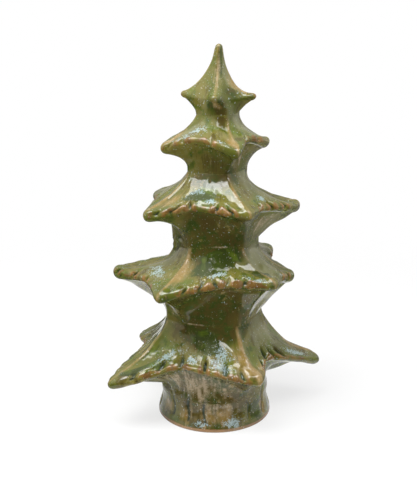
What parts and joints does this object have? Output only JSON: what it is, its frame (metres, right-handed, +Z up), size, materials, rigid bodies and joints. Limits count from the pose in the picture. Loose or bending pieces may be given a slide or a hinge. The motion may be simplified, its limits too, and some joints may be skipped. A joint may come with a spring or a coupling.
{
  "type": "ceramic christmas tree",
  "caption": "Free-standing hollow ceramic Christmas tree: flared tiers with pulled points, luted neck to neck on a round open trunk, in a glossy mottled green glaze.",
  "frame": {"origin": "middle of the round foot, on the surface that the tree stands on", "axes": "+Z up through the tree towards its point, -Y towards the front of the picture's view, +X to its right"},
  "size_m": [0.1469, 0.122, 0.25],
  "materials": {
    "green_glaze": "glossy mottled olive-green glaze that breaks to brown clay on its edges; bare clay inside and under the foot",
    "seam_slip": "luting slip under the same glossy green glaze"
  },
  "bodies": {
    "root": {"trunk_section": "green_glaze", "tier_five_section": "green_glaze", "tier_four_section": "green_glaze", "tier_three_section": "green_glaze", "tier_two_section": "green_glaze", "spire_section": "green_glaze", "trunk_seam": "seam_slip", "neck_four_seam": "seam_slip", "neck_three_seam": "seam_slip", "neck_two_seam": "seam_slip", "neck_one_seam": "seam_slip"}
  },
  "joints": []
}
